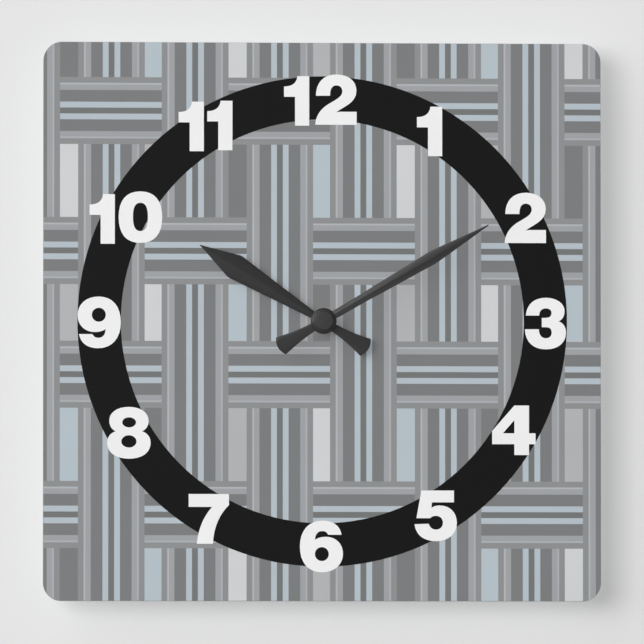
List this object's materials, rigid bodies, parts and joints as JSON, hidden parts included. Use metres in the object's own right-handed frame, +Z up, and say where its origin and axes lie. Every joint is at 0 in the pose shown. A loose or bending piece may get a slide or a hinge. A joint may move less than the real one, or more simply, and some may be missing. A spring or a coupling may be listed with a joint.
{
  "type": "wall clock",
  "caption": "Square wall clock: flat acrylic panel with a printed striped dial and numeral ring, two flared push-on hands, battery quartz movement with a hanging loop behind.",
  "frame": {"origin": "axis of the hanger's nail hole, at the wall plane", "axes": "+Z up; the dial faces -Y; the wall is the plane Y = 0; +X is to the right as seen from the front"},
  "size_m": [0.273, 0.0317, 0.273],
  "materials": {
    "acrylic": "polished acrylic sheet",
    "print_pattern": "satin printed ink, grey and pale blue stripes",
    "ink_black": "satin black ink",
    "ink_white": "satin white ink",
    "case_plastic": "fine moulded texture",
    "frame_plastic": "moulded",
    "gear_plastic": "moulded acetal",
    "knob_plastic": "moulded",
    "hand_plastic": "satin charcoal",
    "rubber": "matt",
    "brass": "turned",
    "bright_metal": "bright plated",
    "steel": "rolled",
    "magnet": "sintered",
    "copper_wire": "enamelled copper wire",
    "board": "solder mask",
    "chip_resin": "cast resin",
    "sleeve_film": "shrink film"
  },
  "bodies": {
    "clock_body": {"face_panel": "acrylic", "dial_print": "print_pattern", "hour_ring": "ink_black", "hour_numerals": "ink_white", "front_case": "case_plastic", "rear_case": "case_plastic", "threaded_bushing": "brass", "rubber_washer": "rubber", "brass_washer": "brass", "hex_nut": "brass", "middle_plate": "frame_plastic", "circuit_board": "board", "driver_chip": "chip_resin", "quartz_crystal": "bright_metal", "coil_bobbin": "frame_plastic", "coil_winding": "copper_wire", "stator": "steel", "positive_contact": "bright_metal", "negative_contact": "bright_metal"},
    "minute": {"minute_hand": "hand_plastic", "hand_cap": "hand_plastic", "minute_arbor": "brass", "clutch_spring": "bright_metal"},
    "hour": {"hour_hand": "hand_plastic", "hour_wheel": "gear_plastic"},
    "motion": {"motion_wheel": "gear_plastic", "setting_knob": "knob_plastic"},
    "third": {"third_wheel": "gear_plastic"},
    "seconds": {"seconds_wheel": "gear_plastic"},
    "centre": {"centre_wheel": "brass"},
    "intermediate": {"intermediate_wheel": "gear_plastic"},
    "rotor": {"rotor_magnet": "magnet", "rotor_pinion": "gear_plastic"},
    "battery": {"aa_battery": "bright_metal", "battery_sleeve": "sleeve_film"}
  },
  "joints": [
    {"name": "minute_spin", "type": "hinge", "parent": "clock_body", "child": "minute", "pos_m": [0, 0, -0.034], "axis": [0, 1, 0], "continuous": true},
    {"name": "hour_spin", "type": "hinge", "parent": "clock_body", "child": "hour", "pos_m": [0, 0, -0.034], "axis": [0, 1, 0], "continuous": true},
    {"name": "motion_spin", "type": "hinge", "parent": "clock_body", "child": "motion", "pos_m": [-0.00861, 0, -0.02999], "axis": [0, 1, 0], "continuous": true},
    {"name": "centre_spin", "type": "hinge", "parent": "clock_body", "child": "centre", "pos_m": [0, 0, -0.034], "axis": [0, 1, 0], "continuous": true},
    {"name": "third_spin", "type": "hinge", "parent": "clock_body", "child": "third", "pos_m": [0.00886, 0, -0.03244], "axis": [0, 1, 0], "continuous": true},
    {"name": "seconds_spin", "type": "hinge", "parent": "clock_body", "child": "seconds", "pos_m": [0, 0, -0.034], "axis": [0, 1, 0], "continuous": true},
    {"name": "intermediate_spin", "type": "hinge", "parent": "clock_body", "child": "intermediate", "pos_m": [0.00229, 0, -0.02546], "axis": [0, 1, 0], "continuous": true},
    {"name": "rotor_spin", "type": "hinge", "parent": "clock_body", "child": "rotor", "pos_m": [0.00049, 0, -0.02053], "axis": [0, 1, 0], "continuous": true},
    {"name": "battery_slide", "type": "slide", "parent": "clock_body", "child": "battery", "axis": [0, 1, 0], "range_m": [0, 0.03]}
  ],
  "couplings": [
    {"joint": "hour_spin", "follows": "minute_spin", "ratio": 0.083333},
    {"joint": "motion_spin", "follows": "minute_spin", "ratio": -0.33333},
    {"joint": "centre_spin", "follows": "minute_spin", "ratio": 1},
    {"joint": "third_spin", "follows": "minute_spin", "ratio": -7.5},
    {"joint": "seconds_spin", "follows": "minute_spin", "ratio": 60},
    {"joint": "intermediate_spin", "follows": "minute_spin", "ratio": -450},
    {"joint": "rotor_spin", "follows": "minute_spin", "ratio": 1800}
  ]
}
